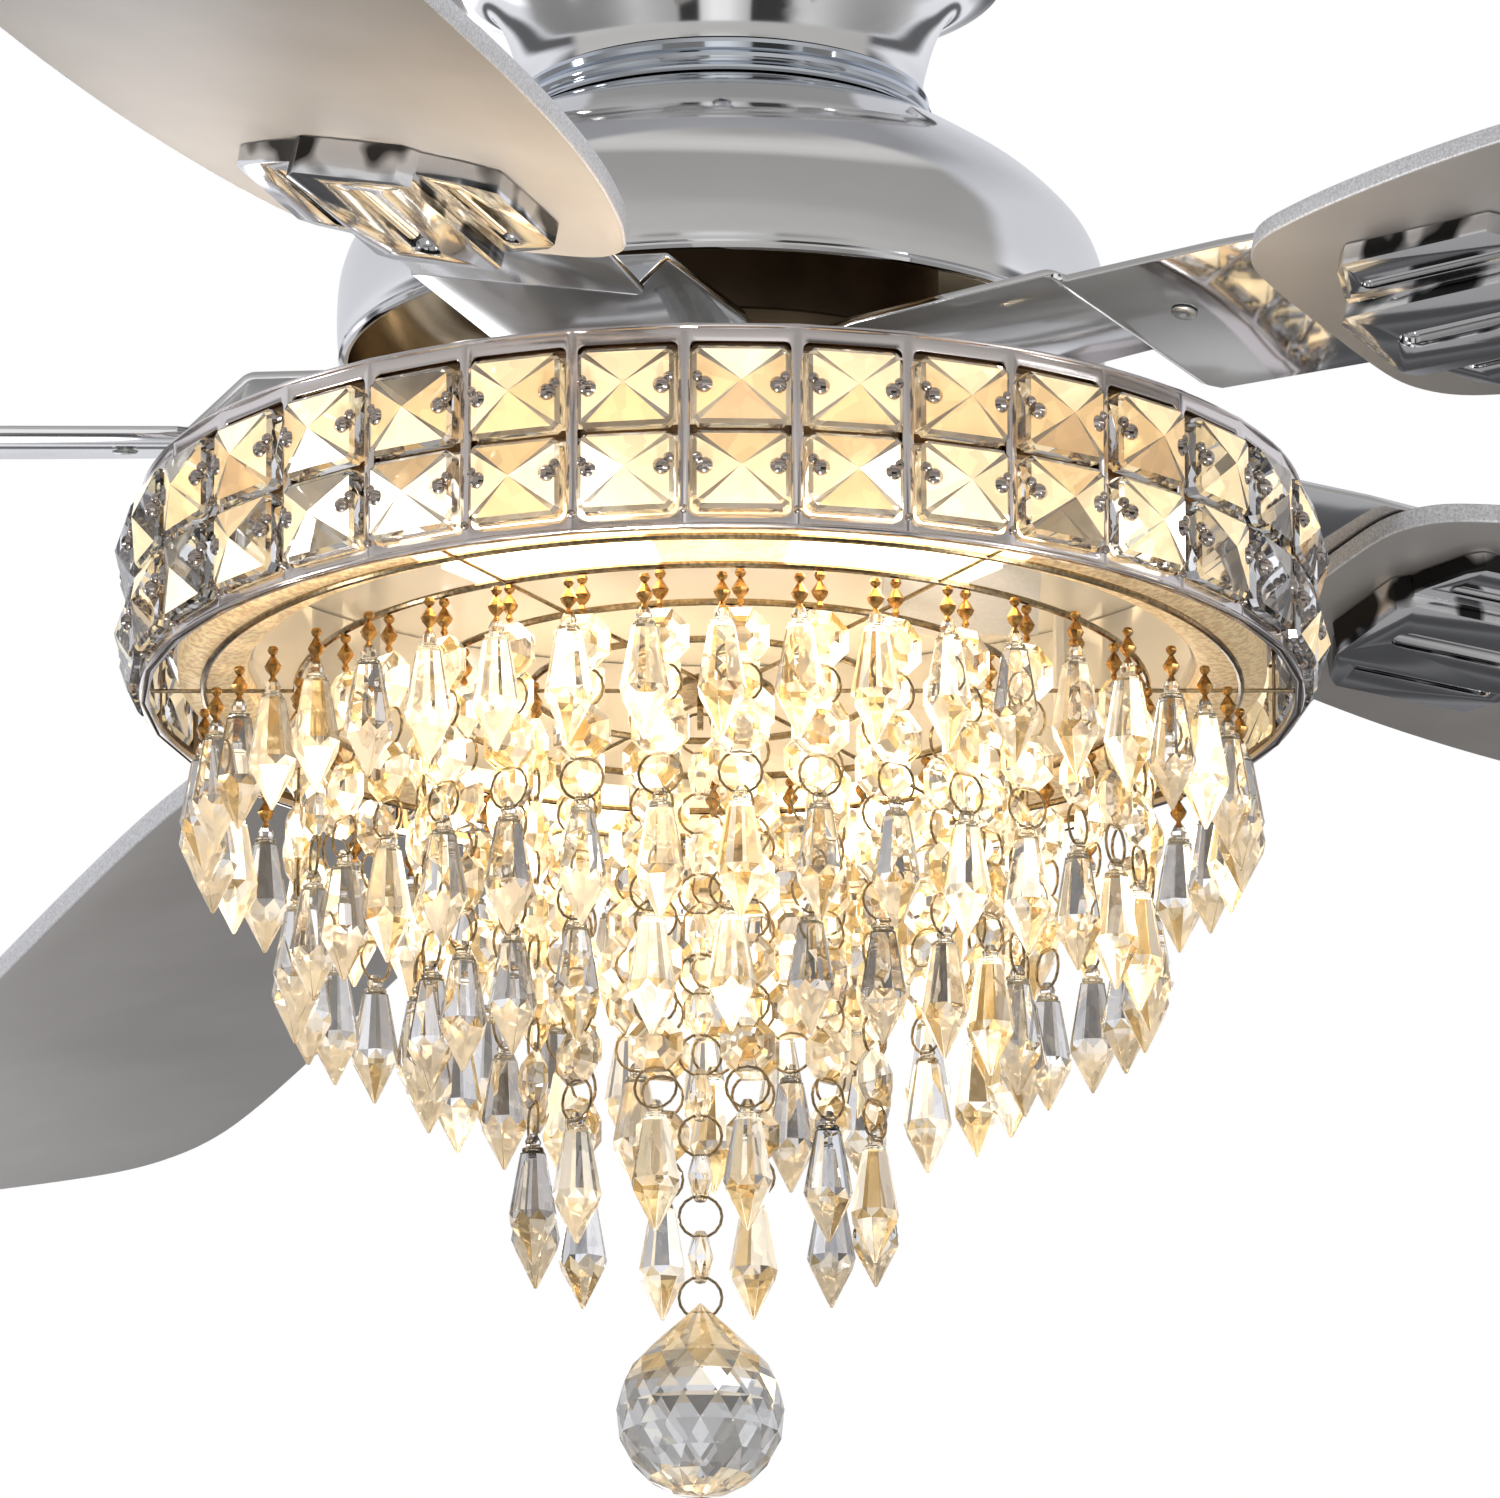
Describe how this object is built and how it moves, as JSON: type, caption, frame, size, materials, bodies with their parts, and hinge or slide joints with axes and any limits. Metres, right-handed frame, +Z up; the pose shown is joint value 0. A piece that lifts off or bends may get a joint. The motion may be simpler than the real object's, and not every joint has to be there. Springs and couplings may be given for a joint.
{
  "type": "chandelier ceiling fan",
  "caption": "Flush-mount ceiling fan with silver paddle blades on chrome arms, and a round crystal light with tiers of hanging drops and a ball.",
  "frame": {"origin": "centre of the bracket's top face, on the ceiling", "axes": "+Z up along the fan's axis, -Y to the front, where the picture was taken"},
  "size_m": [1.2223, 1.2758, 0.3662],
  "materials": {
    "chrome_plate": "polished chrome plate",
    "plated_steel": "zinc-plated steel",
    "core_steel": "stacked sheet steel",
    "copper_winding": "enamelled copper wire",
    "dark_metal": "dark satin paint",
    "white_paint": "white satin paint",
    "silver_blade": "silver-gray satin lacquer on plywood",
    "chrome_plastic": "mirror-plated plastic",
    "crystal": "clear cut crystal",
    "black_plastic": "black satin plastic",
    "white_plastic": "white satin plastic",
    "warm_diffuser": "warm white light diffuser"
  },
  "bodies": {
    "fan_body": {"ceiling_bracket": "plated_steel", "bracket_pin": "plated_steel", "canopy": "chrome_plate", "canopy_screw_1": "chrome_plate", "canopy_screw_2": "chrome_plate", "receiver": "black_plastic", "collar": "chrome_plate", "motor_housing": "chrome_plate", "centre_shaft": "plated_steel", "bearing_upper": "plated_steel", "bearing_lower": "plated_steel", "stator_core": "core_steel", "stator_winding": "copper_winding", "light_pan": "white_paint", "shaft_nut": "plated_steel", "drum_frame": "chrome_plate", "crystal_row_lower": "crystal", "crystal_row_upper": "crystal", "reflector_band": "white_paint", "led_carrier": "white_paint", "led_ring": "warm_diffuser", "led_driver": "white_plastic", "hanger_frame": "chrome_plate", "crystal_tier_1": "crystal", "crystal_tier_2": "crystal", "crystal_tier_3": "crystal", "crystal_tier_4": "crystal"},
    "rotor": {"rotor_shell": "dark_metal", "flywheel": "dark_metal", "blade_iron_1": "chrome_plate", "blade_1": "silver_blade", "medallion_1": "chrome_plastic", "iron_screw_1": "plated_steel", "blade_iron_2": "chrome_plate", "blade_2": "silver_blade", "medallion_2": "chrome_plastic", "iron_screw_2": "plated_steel", "blade_iron_3": "chrome_plate", "blade_3": "silver_blade", "medallion_3": "chrome_plastic", "iron_screw_3": "plated_steel", "blade_iron_4": "chrome_plate", "blade_4": "silver_blade", "medallion_4": "chrome_plastic", "iron_screw_4": "plated_steel", "blade_iron_5": "chrome_plate", "blade_5": "silver_blade", "medallion_5": "chrome_plastic", "iron_screw_5": "plated_steel"},
    "pendant": {"pendant_strand": "crystal"},
    "ball": {"crystal_ball": "crystal"}
  },
  "joints": [
    {"name": "rotor_spin", "type": "hinge", "parent": "fan_body", "child": "rotor", "pos_m": [0, 0, -0.084], "axis": [0, 0, 1], "continuous": true},
    {"name": "pendant_swing", "type": "hinge", "parent": "fan_body", "child": "pendant", "pos_m": [-0.005, 0, -0.1809], "axis": [1, 0, 0], "range_deg": [-10, 10]},
    {"name": "ball_swing", "type": "hinge", "parent": "pendant", "child": "ball", "pos_m": [-0.005, 0, -0.3246], "axis": [0, 1, 0], "range_deg": [-10, 10]}
  ]
}
